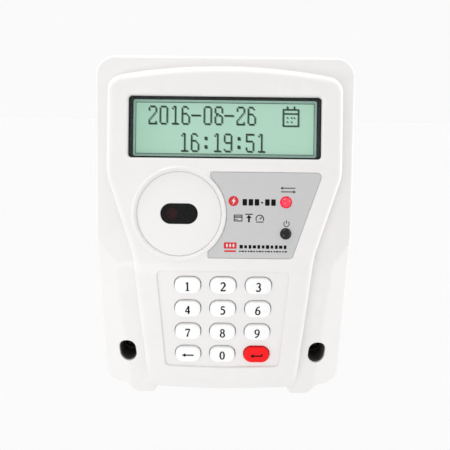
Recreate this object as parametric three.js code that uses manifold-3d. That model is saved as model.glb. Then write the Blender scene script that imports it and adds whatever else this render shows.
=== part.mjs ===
// Wall-mounted prepaid meter display unit: a drafted two-piece case with a raised face,
// a display, a round reader port, a legend plate and a sprung keypad.
// Millimetres. The back plane is y = 0, the front looks along -y and z is up.
import * as THREE from "three";
import { mergeVertices } from "three/addons/utils/BufferGeometryUtils.js";
import Module from "manifold-3d";

const wasm = await Module();
wasm.setup();
const DEG = Math.PI / 180;

// ---------- driving dimensions ----------
const HALF_TOP = 61.4; // half width of the case at its top and at its foot
const HALF_FOOT = 59.0;
const TOP = 82.7;
const BOTTOM = -78.3;
const SAG = 1.3; // how far the bottom edge hangs in its middle
const FOOT_TIP = -82.7;
const WALL = 2.5;
const GAP = 0.3;
const SPLIT = 8; // depth of the rear housing
const STEP = 6.4; // the raised face stands this far off the shoulder
const UPPER_LEAN = 10; // the display face looks up, the keypad face looks down
const LOWER_LEAN = -8.5;
const UPPER_DEPTH = 40;
const UPPER_HEIGHT = 5.7;
const BEND_AT = -20; // where the two faces meet, measured down the display face
const BEND_RADIUS = 24;
const FACE_END = -55; // lower edge of the keypad face

const WINDOW = { width: 89.5, height: 28.8, radius: 1.7, y: 45.2 };
const PORT = { x: -20.7, y: 5, radius: 19.2, rim: 21.6, rise: 0.7 };
const EYE = { length: 17.4, height: 9.6, pitch: 7.4 };
const LAMP = { x: 28.6, y: 10.8, radius: 2.5 };
const OFF = { x: 28.6, y: -3.7, radius: 2.35, travel: 1 };
const KEY = { width: 12, height: 8, radius: 3.6, column: 16.5, row: 12, first: -8.8, travel: 1 };
const PAD = { top: -1.8, bottom: -51.3, halfTop: 30.8, halfBottom: 27.4, sink: 1.1 };
const SCREW = { x: 46.6, z: -59.5, width: 8.4, height: 11 };
const MAIN = -15; // front of the main board, measured off the display face
const SUPPLY = 8; // back of the supply board, measured off the wall

// ---------- materials ----------
function plastic(color, roughness = 0.5) {
  return new THREE.MeshStandardMaterial({ color, roughness, metalness: 0 });
}
function metal(color, roughness = 0.35) {
  return new THREE.MeshStandardMaterial({ color, roughness, metalness: 1 });
}
const WHITE = 0xe9eaec;
const BOARD_GREEN = 0x1f6b3f;
const BLACK = 0x1b1b1d;

// ---------- faces ----------
// A face has x across the case, y up the face and a level measured out of it.
function faceAt(lean, depth, height) {
  const matrix = new THREE.Matrix4().makeRotationX((90 - lean) * DEG);
  matrix.setPosition(0, -depth, height);
  return { lean: lean * DEG, depth, height, matrix };
}
// Depth off the wall and height of a point of a face.
function onFace(face, y, level = 0) {
  const s = Math.sin(face.lean);
  const c = Math.cos(face.lean);
  return [face.depth - y * s + level * c, face.height + y * c + level * s];
}
// Depth off the wall of a face's level at a height.
function depthAt(face, height, level) {
  const rise = (height - face.height) * Math.sin(face.lean);
  return face.depth + (level - rise) / Math.cos(face.lean);
}
const BACK = faceAt(0, 0, 0);
const UPPER = faceAt(UPPER_LEAN, UPPER_DEPTH, UPPER_HEIGHT);
const LOWER = faceAt(LOWER_LEAN, ...onFace(UPPER, BEND_AT));

// ---------- outlines ----------
// A closed outline from corners [x, y, radius], running anticlockwise.
function rounded(corners, steps = 4) {
  const points = [];
  corners.forEach(([x, y, radius = 0], i) => {
    const here = new THREE.Vector2(x, y);
    if (!radius) {
      points.push(here);
      return;
    }
    const before = corners.at(i - 1);
    const after = corners[(i + 1) % corners.length];
    const a = new THREE.Vector2(before[0] - x, before[1] - y).normalize();
    const b = new THREE.Vector2(after[0] - x, after[1] - y).normalize();
    const half = Math.acos(a.dot(b)) / 2;
    const start = here.clone().addScaledVector(a, radius / Math.tan(half));
    const end = here.clone().addScaledVector(b, radius / Math.tan(half));
    const middle = a.clone().add(b).normalize();
    const centre = here.clone().addScaledVector(middle, radius / Math.sin(half));
    const from = start.sub(centre).angle();
    let sweep = end.sub(centre).angle() - from;
    if (sweep > Math.PI) sweep -= 2 * Math.PI;
    if (sweep < -Math.PI) sweep += 2 * Math.PI;
    for (let k = 0; k <= steps; k += 1) {
      const angle = from + (sweep * k) / steps;
      const arm = new THREE.Vector2(Math.cos(angle), Math.sin(angle));
      points.push(centre.clone().addScaledVector(arm, radius));
    }
  });
  return points;
}
// A rounded box about a point.
function box2(width, height, radius = 0, x = 0, y = 0, steps = 3) {
  const w = width / 2;
  const h = height / 2;
  const signs = [[1, -1], [1, 1], [-1, 1], [-1, -1]];
  return rounded(signs.map(([a, b]) => [x + a * w, y + b * h, radius]), steps);
}
function circle(radius, x = 0, y = 0, steps = 32) {
  return Array.from({ length: steps }, (_, i) => {
    const angle = (2 * Math.PI * i) / steps;
    return new THREE.Vector2(x + radius * Math.cos(angle), y + radius * Math.sin(angle));
  });
}
// The right half of an outline, from bottom to top, closed by its mirror image.
function mirrored(half) {
  const left = half.filter(([x]) => x > 0).reverse();
  return [...half, ...left.map(([x, y, radius]) => [-x, y, radius])];
}
// An outline with a point added wherever it crosses one of the heights.
function crossed(points, heights) {
  return points.flatMap((point, i) => {
    const next = points[(i + 1) % points.length];
    const share = (height) => (height - point.y) / (next.y - point.y);
    const met = heights.map(share).filter((part) => part > 0.02 && part < 0.98);
    return [point, ...met.sort((a, b) => a - b).map((part) => point.clone().lerp(next, part))];
  });
}
// An outline moved inwards by a distance.
function inset(points, distance) {
  return points.map((point, i) => {
    const before = points.at(i - 1);
    const after = points[(i + 1) % points.length];
    const a = point.clone().sub(before).normalize();
    const b = after.clone().sub(point).normalize();
    const normal = new THREE.Vector2(-a.y - b.y, a.x + b.x);
    return point.clone().addScaledVector(normal, distance / (1 + a.dot(b)));
  });
}

// ---------- solids ----------
function solid(geometry) {
  const bare = geometry.clone();
  bare.deleteAttribute("normal");
  bare.deleteAttribute("uv");
  const merged = mergeVertices(bare, 1e-4);
  const mesh = new wasm.Mesh({
    numProp: 3,
    vertProperties: merged.attributes.position.array,
    triVerts: new Uint32Array(merged.index.array),
  });
  return new wasm.Manifold(mesh);
}
// A solid through rings of equal length. A ring is { points, level }, and its level
// is a number or a function of the point.
function loft(rings, face = BACK) {
  const count = rings[0].points.length;
  const position = [];
  rings.forEach(({ points, level }) =>
    points.forEach((p) => {
      position.push(p.x, p.y, typeof level === "function" ? level(p) : level);
    }),
  );
  const index = [];
  for (let r = 0; r + 1 < rings.length; r += 1)
    for (let i = 0; i < count; i += 1) {
      const a = r * count + i;
      const b = r * count + ((i + 1) % count);
      index.push(a, b, b + count, a, b + count, a + count);
    }
  const last = (rings.length - 1) * count;
  THREE.ShapeUtils.triangulateShape(rings[0].points, []).forEach(([a, b, c]) =>
    index.push(a, c, b),
  );
  THREE.ShapeUtils.triangulateShape(rings.at(-1).points, []).forEach(([a, b, c]) =>
    index.push(last + a, last + b, last + c),
  );
  const geometry = new THREE.BufferGeometry();
  geometry.setAttribute("position", new THREE.Float32BufferAttribute(position, 3));
  geometry.setIndex(index);
  geometry.applyMatrix4(face.matrix);
  return solid(geometry);
}
function slab(points, low, high, face = BACK) {
  return loft([{ points, level: low }, { points, level: high }], face);
}
// A slab whose outer edge is chamfered.
function cushion(points, low, high, chamfer, face = BACK) {
  return loft(
    [
      { points, level: low },
      { points, level: high - chamfer },
      { points: inset(points, chamfer), level: high },
    ],
    face,
  );
}
// A turned solid from [radius, level] pairs, from low to high.
function turned(profile, x, y, face = BACK, steps = 28) {
  const rings = profile.map(([radius, level]) => ({ points: circle(radius, x, y, steps), level }));
  return loft(rings, face);
}
// A solid that runs across the case, from its side view in depth and height.
function across(side, x0, x1) {
  const basis = new THREE.Matrix4().makeBasis(
    new THREE.Vector3(0, -1, 0),
    new THREE.Vector3(0, 0, 1),
    new THREE.Vector3(-1, 0, 0),
  );
  return slab(side, -x1, -x0, { matrix: basis });
}
function unite(solids) {
  return solids.reduce((all, one) => all.add(one));
}

const unit = new THREE.Group();
unit.name = "prepaid_meter_display_unit";
function piece(name, body, material) {
  const { vertProperties, triVerts } = body.getMesh();
  const geometry = new THREE.BufferGeometry();
  geometry.setAttribute("position", new THREE.BufferAttribute(vertProperties, 3));
  geometry.setIndex(new THREE.BufferAttribute(triVerts, 1));
  geometry.computeVertexNormals();
  const mesh = new THREE.Mesh(geometry, material);
  mesh.name = name;
  unit.add(mesh);
}

// ---------- the case ----------
// The bottom edge hangs a little lower in its middle.
const belly = (lift) => [0, 8, 16, 24].map((x) => [x, BOTTOM + lift - SAG * (1 - (x / 32) ** 2)]);
const CASE = crossed(
  rounded(
    mirrored([
      ...belly(0),
      [HALF_FOOT, BOTTOM, 7.5],
      [HALF_TOP, TOP, 9],
    ]),
  ),
  [-2.3, -9, -14, -19],
);
const arch = [44, 33, 22, 11, 0].map((x) => [x, 77.6 - (x * x) / (2 * 281)]);
const FACE = crossed(
  rounded(
    mirrored([
      ...belly(0.3),
      [36.2, BOTTOM + 0.3],
      [41.9, -9.8, 35],
      [54.8, 28.1, 25],
      [54.8, 72.2, 7],
      ...arch,
    ]),
  ),
  [-14, -19, -68.4],
);
// The side view of a level: the keypad face, the bend and the display face.
const bendCentre = onFace(UPPER, BEND_AT + BEND_RADIUS * Math.tan(9.25 * DEG), -BEND_RADIUS);
function sideView(level, low) {
  const arc = [0, 1, 2, 3].map((k) => {
    const angle = (LOWER_LEAN + ((UPPER_LEAN - LOWER_LEAN) * k) / 3) * DEG;
    const radius = BEND_RADIUS + level;
    return [bendCentre[0] + radius * Math.cos(angle), bendCentre[1] + radius * Math.sin(angle)];
  });
  const points = [[-6, -96], ...low, ...arc, onFace(UPPER, 95, level), [-6, 99]];
  return points.map(([depth, height]) => new THREE.Vector2(depth, height));
}
const faceEnd = onFace(LOWER, FACE_END);
const CHIN = [28.2, BOTTOM]; // lower edge of the sloping chin
const chinRun = [CHIN[0] - faceEnd[0], CHIN[1] - faceEnd[1]];
const FACE_SIDE = sideView(0, [[faceEnd[0] + 1.6 * chinRun[0], faceEnd[1] + 1.6 * chinRun[1]], faceEnd]);
const SHOULDER_SIDE = sideView(-STEP, [onFace(LOWER, -84, -STEP)]);

// Each lower corner falls away from a crease through three points [x, height] of the shoulder.
function shoulderDepth(height) {
  return Math.min(depthAt(UPPER, height, -STEP), depthAt(LOWER, height, -STEP));
}
const creasePoints = [
  [51.0, -14.1],
  [45.4, -77.6],
  [59.6, -2.3],
].map(([x, height]) => new THREE.Vector3(x, -shoulderDepth(height), height));
const cornerPlane = new THREE.Plane().setFromCoplanarPoints(...creasePoints);
if (cornerPlane.normal.y > 0) cornerPlane.negate();
function cornerDepth(x, height) {
  const { normal, constant } = cornerPlane;
  return (normal.x * Math.abs(x) + normal.z * height + constant) / normal.y;
}
// What lies in front of each corner plane, moved back by a distance.
function cornerWaste(back) {
  return [1, -1].map((side) => {
    const mirror = new THREE.Vector3(side, 1, 1);
    const out = cornerPlane.normal.clone().multiply(mirror);
    const start = creasePoints[0].clone().multiply(mirror).addScaledVector(out, -back);
    const right = new THREE.Vector3(1, 0, 0).projectOnPlane(out).normalize();
    const up = new THREE.Vector3().crossVectors(out, right);
    const matrix = new THREE.Matrix4().makeBasis(right, up, out).setPosition(start);
    return slab(box2(160, 240, 0, side * 30, 0), 0, 60, { matrix });
  });
}

// Two rounded feet carry the shoulder past the bottom edge.
function foot(side) {
  const corners = [
    [29.4, BOTTOM + 4],
    [34.4, FOOT_TIP, 1.8],
    [42.4, FOOT_TIP, 4],
    [47.8, BOTTOM + 0.4, 3],
    [47.8, BOTTOM + 4],
  ].map(([x, y, radius]) => [side * x, y, radius]);
  return slab(rounded(side > 0 ? corners : corners.reverse()), SPLIT + 6, 60);
}
const shoulderEdge = 1.5;
const shoulderLevel = (offset) => (p) =>
  Math.min(shoulderDepth(p.y), cornerDepth(p.x, p.y)) + offset;
const block = loft([
  { points: CASE, level: SPLIT + GAP },
  { points: CASE, level: shoulderLevel(-shoulderEdge) },
  { points: inset(CASE, shoulderEdge + 3), level: shoulderLevel(3) },
  { points: inset(CASE, shoulderEdge + 3), level: 70 },
]);
let shoulder = unite([block, foot(1), foot(-1)]).intersect(across(SHOULDER_SIDE, -80, 80));
cornerWaste(0).forEach((waste) => {
  shoulder = shoulder.subtract(waste);
});

const faceEdge = 1.2;
const faceLevel = (offset) => (p) => {
  const slope = chinRun[0] / chinRun[1];
  const chin = faceEnd[0] + (p.y - faceEnd[1]) * slope;
  return Math.min(depthAt(UPPER, p.y, 0), depthAt(LOWER, p.y, 0), chin) + offset;
};
const raised = loft([
  { points: FACE, level: SPLIT + 6 },
  { points: FACE, level: faceLevel(-faceEdge) },
  { points: inset(FACE, faceEdge + 2), level: faceLevel(2) },
  { points: inset(FACE, faceEdge + 2), level: 70 },
]).intersect(across(FACE_SIDE, -80, 80));

const outer = shoulder.add(raised);

let hollow = slab(inset(CASE, WALL), 2, 70).intersect(across(inset(SHOULDER_SIDE, WALL), -80, 80));
cornerWaste(WALL).forEach((waste) => {
  hollow = hollow.subtract(waste);
});
hollow = hollow.add(
  slab(inset(FACE, WALL), SPLIT + 7, 70).intersect(across(inset(FACE_SIDE, WALL), -80, 80)),
);
// The keypad face is thicker, to hold the sunk panel.
const padBacking = slab(box2(67, 52, 2, 0, -27), -PAD.sink - 2.3, -1, LOWER);
const seatRebate = slab(inset(CASE, 0.9), SPLIT - 2, SPLIT + 2 + GAP);

// Screw tunnels lie along the crease.
const creaseLean = Math.atan2(5.6, 63.5);
function tunnelOutline(side, grow) {
  const centre = new THREE.Vector2();
  const width = SCREW.width + grow;
  const points = box2(width, SCREW.height + grow, width / 2 - 0.1, 0, 0, 5);
  return points.map((p) =>
    p.clone().rotateAround(centre, -side * creaseLean).add(new THREE.Vector2(side * SCREW.x, SCREW.z)),
  );
}
function tunnel(side) {
  let tube = slab(tunnelOutline(side, 3.6), SPLIT + 4, 60);
  tube = tube.intersect(across(inset(SHOULDER_SIDE, WALL / 2), -80, 80));
  cornerWaste(WALL / 2).forEach((waste) => {
    tube = tube.subtract(waste);
  });
  return tube;
}
// Posts behind the face carry the main board.
const POSTS = [
  [50.2, 48],
  [-50.2, 48],
  [38.5, -13.5],
  [-38.5, -13.5],
];
const posts = POSTS.map(([x, y]) =>
  slab(circle(2.8, x, y, 14), MAIN + GAP, -1.2, UPPER),
);
let cover = outer.subtract(hollow).subtract(seatRebate);
const portRing = turned(
  [[PORT.rim, -1], [PORT.rim, PORT.rise - 0.5], [PORT.rim - 0.5, PORT.rise]],
  PORT.x, PORT.y, UPPER, 36,
);
cover = unite([cover, padBacking, tunnel(1), tunnel(-1), portRing, ...posts]);

const portBore = PORT.radius + GAP;
const KEYS = [
  "key_1", "key_2", "key_3",
  "key_4", "key_5", "key_6",
  "key_7", "key_8", "key_9",
  "key_clear", "key_0", "key_enter",
].map((name, i) => ({
  name,
  x: ((i % 3) - 1) * KEY.column,
  y: KEY.first - Math.floor(i / 3) * KEY.row,
}));
const padOutline = rounded([
  [PAD.halfBottom, PAD.bottom, 2],
  [PAD.halfTop, PAD.top, 2],
  [-PAD.halfTop, PAD.top, 2],
  [-PAD.halfBottom, PAD.bottom, 2],
  [0, PAD.bottom - 0.9],
]);
// The legend plate fits round the port on its left and slants in on its right.
function legendOutline() {
  const left = [];
  const reach = PORT.rim + 0.4;
  const top = Math.asin((24.5 - PORT.y) / (reach + 2.8));
  const low = Math.asin((-15.3 - PORT.y) / (reach + 2.8));
  for (let k = 0; k <= 8; k += 1) {
    const angle = top + ((low - top) * (k + 0.5)) / 9;
    left.push([PORT.x + reach * Math.cos(angle), PORT.y + reach * Math.sin(angle)]);
  }
  return rounded([
    [-7.2, -15.3, 0.8],
    [31.6, -15.3, 2],
    [45.6, 24.5, 2],
    [-6.4, 24.5, 0.8],
    ...left,
  ]);
}
const legend = legendOutline();

const cuts = [
  slab(box2(WINDOW.width, WINDOW.height, WINDOW.radius, 0, WINDOW.y), -6, 3, UPPER),
  slab(circle(portBore, PORT.x, PORT.y, 36), -6, 3, UPPER),
  turned([[portBore - 0.1, -1.3], [PORT.rim - 0.3, 2]], PORT.x, PORT.y, UPPER, 36),
  slab(legend, -0.5, 3, UPPER),
  slab(circle(LAMP.radius + GAP, LAMP.x, LAMP.y, 16), -6, 3, UPPER),
  slab(circle(OFF.radius + GAP, OFF.x, OFF.y, 16), -6, 3, UPPER),
  slab(padOutline, -PAD.sink, 3, LOWER),
  ...KEYS.map(({ x, y }) => slab(box2(KEY.width + 0.6, KEY.height + 0.6, KEY.radius + 0.3, x, y), -6, 3, LOWER)),
  ...[1, -1].map((side) => slab(tunnelOutline(side, 0), SPLIT + 6, 60)),
  ...[1, -1].map((side) => slab(circle(2.2, side * SCREW.x, SCREW.z, 12), 0, 60)),
  ...POSTS.map(([x, y]) => slab(circle(1.3, x, y, 10), MAIN - 2, -6, UPPER)),
];
cuts.forEach((cut) => {
  cover = cover.subtract(cut);
});
piece("front_cover", cover, plastic(WHITE));

// Rear housing: a tray with a tongue inside the cover, posts, keyholes and a cable hole.
const WALL_HOLES = [30, -30].map((x) => [x, 52]);
const CABLE = { x: 0, y: -63, radius: 8 };
const SUPPLY_POSTS = [
  [34, -6],
  [-34, -6],
  [34, -46],
  [-34, -46],
];
let tray = slab(CASE, 0, SPLIT).subtract(slab(inset(CASE, WALL), WALL, SPLIT + 1));
const tongue = slab(inset(CASE, WALL + 0.3), 1, SPLIT + 3.6).subtract(
  slab(inset(CASE, WALL + 1.9), 0.5, SPLIT + 4),
);
tray = tray.add(tongue);
[1, -1].forEach((side) => {
  tray = tray.add(slab(circle(4.6, side * SCREW.x, SCREW.z, 16), 1, SPLIT + 3.7));
  tray = tray.subtract(slab(circle(1.9, side * SCREW.x, SCREW.z, 10), 3, SPLIT + 5));
});
SUPPLY_POSTS.forEach(([x, y]) => {
  tray = tray.add(slab(circle(3.2, x, y, 12), 1, SUPPLY - GAP));
  tray = tray.subtract(slab(circle(1.4, x, y, 10), 3, SUPPLY + 1));
});
WALL_HOLES.forEach(([x, y]) => {
  tray = tray.subtract(slab(circle(4.2, x, y, 16), -1, 4));
  tray = tray.subtract(slab(box2(4.4, 9, 2.1, x, y + 5), -1, 4));
});
tray = tray.subtract(slab(circle(CABLE.radius, CABLE.x, CABLE.y, 20), -1, 4));
piece("rear_housing", tray, plastic(0xdfe0e2));

const sealOuter = slab(inset(CASE, 1.2), SPLIT + GAP, SPLIT + 2);
piece("case_seal", sealOuter.subtract(slab(inset(CASE, 2.4), 0, 20)), plastic(0x2a2a2c, 0.9));

// A pan-head screw with a cross recess, pointing back from a level.
function panScrew(x, y, level, head, shank, length, face = BACK) {
  const body = turned(
    [
      [shank, level - length],
      [shank, level - 0.01],
      [head, level],
      [head, level + head * 0.3],
      [head * 0.6, level + head * 0.62],
    ],
    x, y, face, 12,
  );
  const high = level + head;
  const slot = slab(box2(head * 1.1, head * 0.26, 0, x, y), level + head * 0.25, high, face);
  const cross = slab(box2(head * 0.26, head * 1.1, 0, x, y), level + head * 0.25, high, face);
  return body.subtract(slot).subtract(cross);
}
piece("cover_screw_left", panScrew(-SCREW.x, SCREW.z, SPLIT + 6 + GAP, 3.5, 1.6, 9), metal(0xb8b8b4));
piece("cover_screw_right", panScrew(SCREW.x, SCREW.z, SPLIT + 6 + GAP, 3.5, 1.6, 9), metal(0xb8b8b4));

// ---------- display ----------
const w = WINDOW;
const inFrame = slab(box2(85.8, 26.4, 0.8, 0, w.y), -9, -4, UPPER);
piece("lcd_window", slab(box2(92.6, 31.8, 1.5, 0, w.y), -4.3, -2.8, UPPER), plastic(0xdfe9e6, 0.1));
const shell = slab(box2(91.6, 33, 1, 0, w.y), -8.4, -4.6, UPPER);
const pocket = slab(box2(89.6, 31, 0.6, 0, w.y), -9, -5.2, UPPER);
piece("lcd_bezel", shell.subtract(pocket).subtract(inFrame), plastic(BLACK, 0.6));
piece("lcd_glass", slab(box2(88.8, 30.2, 0.4, 0, w.y), -7.3, -5.5, UPPER), plastic(0xa5d4b9, 0.3));
piece("lcd_backlight", slab(box2(88.8, 30.2, 0.4, 0, w.y), -11, -7.6, UPPER), plastic(0xd8e6c8, 0.4));
piece("lcd_board", slab(box2(93.4, 36, 1, 0, w.y), -12.9, -11.3, UPPER), plastic(BOARD_GREEN, 0.6));
piece("lcd_header", slab(box2(50.8, 2.5, 0, 0, w.y + 15.4), MAIN + GAP, -13.2, UPPER), plastic(BLACK, 0.6));

// ---------- round reader port ----------
function stadium(length, height, x, y) {
  return box2(length, height, height / 2 - 0.05, x, y, 5);
}
const p = PORT;
const flange = turned(
  [[22.6, -4.3], [22.6, -2.8], [p.radius, -2.79], [p.radius, -1], [p.radius - 0.7, -0.3]],
  p.x, p.y, UPPER, 36,
);
const eye = slab(stadium(EYE.length, EYE.height, p.x, p.y), -6, 2, UPPER);
const eyeSeat = slab(stadium(EYE.length + 3.6, EYE.height + 3.6, p.x, p.y), -6, -2, UPPER);
piece("reader_disc", flange.subtract(eye).subtract(eyeSeat), plastic(WHITE));
const pane = slab(stadium(EYE.length + 3, EYE.height + 3, p.x, p.y), -3.8, -2.3, UPPER);
piece("reader_window", pane, plastic(0x3a3a40, 0.15));
let holder = slab(stadium(21, 13, p.x, p.y), -12, -4.6, UPPER);
const eyes = [-EYE.pitch / 2, EYE.pitch / 2].map((dx) => p.x + dx);
eyes.forEach((x) => {
  holder = holder.subtract(slab(circle(2.8, x, p.y, 14), -13, -4, UPPER));
});
piece("optic_holder", holder, plastic(BLACK, 0.7));
// A 5 mm lamp: leads, flange, barrel and dome.
function lamp(x, y, top, low) {
  const body = turned(
    [
      [2.95, low], [2.95, low + 1], [2.5, low + 1.01], [2.5, top - 2.5],
      [2.17, top - 1.25], [1.25, top - 0.33], [0.3, top],
    ],
    x, y, UPPER, 14,
  );
  const leads = [-1.27, 1.27].map((dx) => slab(box2(0.5, 0.5, 0, x + dx, y), MAIN + GAP, low + 0.5, UPPER));
  return unite([body, ...leads]);
}
piece("infrared_led", lamp(eyes[0], p.y, -5, -13.4), plastic(0x8a2a2c, 0.2));
piece("phototransistor", lamp(eyes[1], p.y, -5, -13.4), plastic(0x17171c, 0.2));

// ---------- legend plate, lamp and off button ----------
let plate = slab(inset(legend, 0.15), -0.2, 0.1, UPPER);
[[LAMP, GAP], [OFF, GAP]].forEach(([at, gap]) => {
  plate = plate.subtract(slab(circle(at.radius + gap, at.x, at.y, 16), -2, 2, UPPER));
});
piece("label_plate", plate, plastic(0xc7c7c8, 0.45));
piece("comm_led", lamp(LAMP.x, LAMP.y, 1.7, -3.9), plastic(0xff2846, 0.25));
const cap = turned(
  [
    [1.5, -8.6], [1.5, -3.81], [3.4, -3.8], [3.4, -2.8], [OFF.radius, -2.79], [OFF.radius, 0.5],
    [2.0, 1.15], [1.3, 1.55], [0.5, 1.7],
  ],
  OFF.x, OFF.y, UPPER, 16,
);
piece("off_button", cap, plastic(BLACK, 0.25));
const switchBody = slab(box2(6.2, 6.2, 0.5, OFF.x, OFF.y), MAIN + GAP, -10.8, UPPER);
const plunger = slab(circle(1.7, OFF.x, OFF.y, 16), -11, -9.9, UPPER);
piece("off_switch", switchBody.add(plunger), plastic(BLACK, 0.6));

// ---------- keypad ----------
KEYS.forEach(({ name, x, y }) => {
  const skirt = slab(box2(KEY.width + 2.4, KEY.height + 2, KEY.radius, x, y, 2), -4.7, -3.7, LOWER);
  const pill = cushion(box2(KEY.width, KEY.height, KEY.radius, x, y, 3), -4.2, 0.5, 0.5, LOWER);
  piece(name, skirt.add(pill), plastic(name === "key_enter" ? 0xff2832 : 0xf2f2f2, 0.6));
});
piece("keypad_mat", slab(box2(60, 51, 2, 0, -26.8), -7.6, -6.1, LOWER), plastic(0xcfcfcf, 0.8));
piece("keypad_board", slab(box2(64, 54, 1, 0, -27.8), -9.5, -7.9, LOWER), plastic(BOARD_GREEN, 0.6));

// ---------- main board ----------
let main = slab(box2(107, 83, 2, 0, 24.5), MAIN - 1.6, MAIN, UPPER);
POSTS.forEach(([x, y]) => {
  main = main.subtract(slab(circle(1.6, x, y, 10), MAIN - 3, MAIN + 1, UPPER));
});
piece("main_board", main, plastic(BOARD_GREEN, 0.6));
POSTS.forEach(([x, y], i) => {
  const turn = { matrix: UPPER.matrix.clone().multiply(new THREE.Matrix4().makeRotationY(Math.PI)) };
  const screw = panScrew(-x, y, -MAIN + 1.6 + GAP, 2.6, 1, 6, turn);
  piece(`main_screw_${i + 1}`, screw, metal(0xb8b8b4));
});
const rear = MAIN - 1.6 - GAP; // parts stand on the back of the main board
piece("microcontroller", slab(box2(14, 14, 0.6, -8, 22), rear - 1.5, rear, UPPER), plastic(BLACK, 0.5));
piece("memory_chip", slab(box2(5, 8, 0.3, 12, 22), rear - 1.6, rear, UPPER), plastic(BLACK, 0.5));
piece("clock_crystal", slab(box2(11, 4.6, 2.2, -8, 8), rear - 3.5, rear, UPPER), metal(0xc9c9c4));
piece("buzzer", turned([[5.6, rear - 7], [6, rear - 6.6], [6, rear]], -34, 6, UPPER, 18), plastic(BLACK, 0.5));
const cup = turned([[11.8, rear - 5], [11.8, rear]], 30, 44, UPPER, 24);
const well = slab(circle(10.4, 30, 44, 24), rear - 6, rear - 1.2, UPPER);
piece("battery_holder", cup.subtract(well), plastic(BLACK, 0.5));
const cell = [[9.2, rear - 4.8], [10, rear - 4.4], [10, rear - 1.6]];
piece("clock_battery", turned(cell, 30, 44, UPPER, 24), metal(0xc4c5c6));

// The ribbon runs from the back of the keypad board to the back of the main board.
function ribbonSide() {
  const path = [
    onFace(LOWER, -10, -9.8),
    onFace(LOWER, -10, -12.5),
    [24.5, -16],
    onFace(UPPER, -12, rear - 3),
    onFace(UPPER, -12, rear),
  ].map(([depth, height]) => new THREE.Vector2(depth, height));
  const left = [];
  const right = [];
  path.forEach((point, i) => {
    const ahead = path[Math.min(i + 1, path.length - 1)];
    const run = ahead.clone().sub(path[Math.max(i - 1, 0)]).normalize();
    const side = new THREE.Vector2(-run.y, run.x).multiplyScalar(0.4);
    left.push(point.clone().add(side));
    right.unshift(point.clone().sub(side));
  });
  const outline = [...left, ...right];
  return THREE.ShapeUtils.isClockWise(outline) ? outline.reverse() : outline;
}
piece("keypad_ribbon", across(ribbonSide(), 12, 28), plastic(0xb9bcc2, 0.5));

// ---------- supply board ----------
let supply = slab(box2(76, 52, 2, 0, -26), SUPPLY, SUPPLY + 1.6);
SUPPLY_POSTS.forEach(([x, y]) => {
  supply = supply.subtract(slab(circle(1.7, x, y, 10), SUPPLY - 1, SUPPLY + 3));
});
piece("supply_board", supply, plastic(BOARD_GREEN, 0.6));
const deck = SUPPLY + 1.6 + GAP; // parts stand on the front of the supply board
SUPPLY_POSTS.forEach(([x, y], i) => {
  piece(`supply_screw_${i + 1}`, panScrew(x, y, deck, 2.6, 1.1, 6), metal(0xb8b8b4));
});
const coil = cushion(box2(24, 20, 1.5, -16, -26), deck, deck + 13, 1);
const core = slab(box2(29, 13, 0.5, -16, -26), deck + 3, deck + 11);
piece("transformer", coil.add(core), plastic(0xd9b23a, 0.5));
const can = [[4.8, deck], [5, deck + 0.6], [5, deck + 11], [4.4, deck + 11.6]];
piece("capacitor", turned(can, 16, -14, BACK, 18), plastic(0x2b3f6b, 0.3));
piece("fuse", cushion(box2(20, 5.2, 1.6, 14, -30), deck, deck + 5, 1), plastic(0xbfc8c9, 0.2));
let terminal = cushion(box2(42, 10, 0, 0, -42), deck, deck + 11, 1);
const terminals = [-12, 0, 12];
terminals.forEach((x) => {
  terminal = terminal.subtract(slab(circle(2.5, x, -41, 12), deck + 4, deck + 20));
  terminal = terminal.subtract(across(box2(4, 4, 0, deck + 3, -46), x - 2.6, x + 2.6));
});
piece("terminal_block", terminal, plastic(0x2f8f5b, 0.5));
terminals.forEach((x, i) => {
  piece(`terminal_screw_${i + 1}`, panScrew(x, -41, deck + 5.6, 2.1, 1, 1.2), metal(0xc4b27a));
});
let grommet = turned([[10, WALL + GAP], [10, WALL + 1.8]], CABLE.x, CABLE.y, BACK, 24);
grommet = grommet.add(slab(circle(CABLE.radius - GAP, CABLE.x, CABLE.y, 20), 0.4, WALL + 1));
grommet = grommet.subtract(slab(circle(5, CABLE.x, CABLE.y, 16), 0, 10));
piece("cable_grommet", grommet, plastic(BLACK, 0.9));

export default unit;
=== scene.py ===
"""Looks of the wall-mounted prepaid meter display unit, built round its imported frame.

Shapes are made in millimetres in the row frame and scaled to metres when a piece is done.
The case front is a moulded shell: a shoulder, a raised face with a bend, and sunk panels.
"""
import math

import bmesh
import bpy
from mathutils import Matrix, Vector


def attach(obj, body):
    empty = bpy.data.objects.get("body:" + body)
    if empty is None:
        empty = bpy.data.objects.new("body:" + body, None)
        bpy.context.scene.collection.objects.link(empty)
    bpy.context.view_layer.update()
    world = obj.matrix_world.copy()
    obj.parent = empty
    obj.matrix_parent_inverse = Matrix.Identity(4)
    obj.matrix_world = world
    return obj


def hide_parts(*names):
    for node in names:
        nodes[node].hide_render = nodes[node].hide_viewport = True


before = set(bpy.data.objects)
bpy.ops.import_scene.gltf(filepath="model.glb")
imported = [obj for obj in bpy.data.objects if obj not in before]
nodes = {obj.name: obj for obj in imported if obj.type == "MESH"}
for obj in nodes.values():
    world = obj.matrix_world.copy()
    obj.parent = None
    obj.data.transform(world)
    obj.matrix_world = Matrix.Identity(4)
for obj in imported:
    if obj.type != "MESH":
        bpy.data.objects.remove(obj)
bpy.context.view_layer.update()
MM = 0.001

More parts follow.
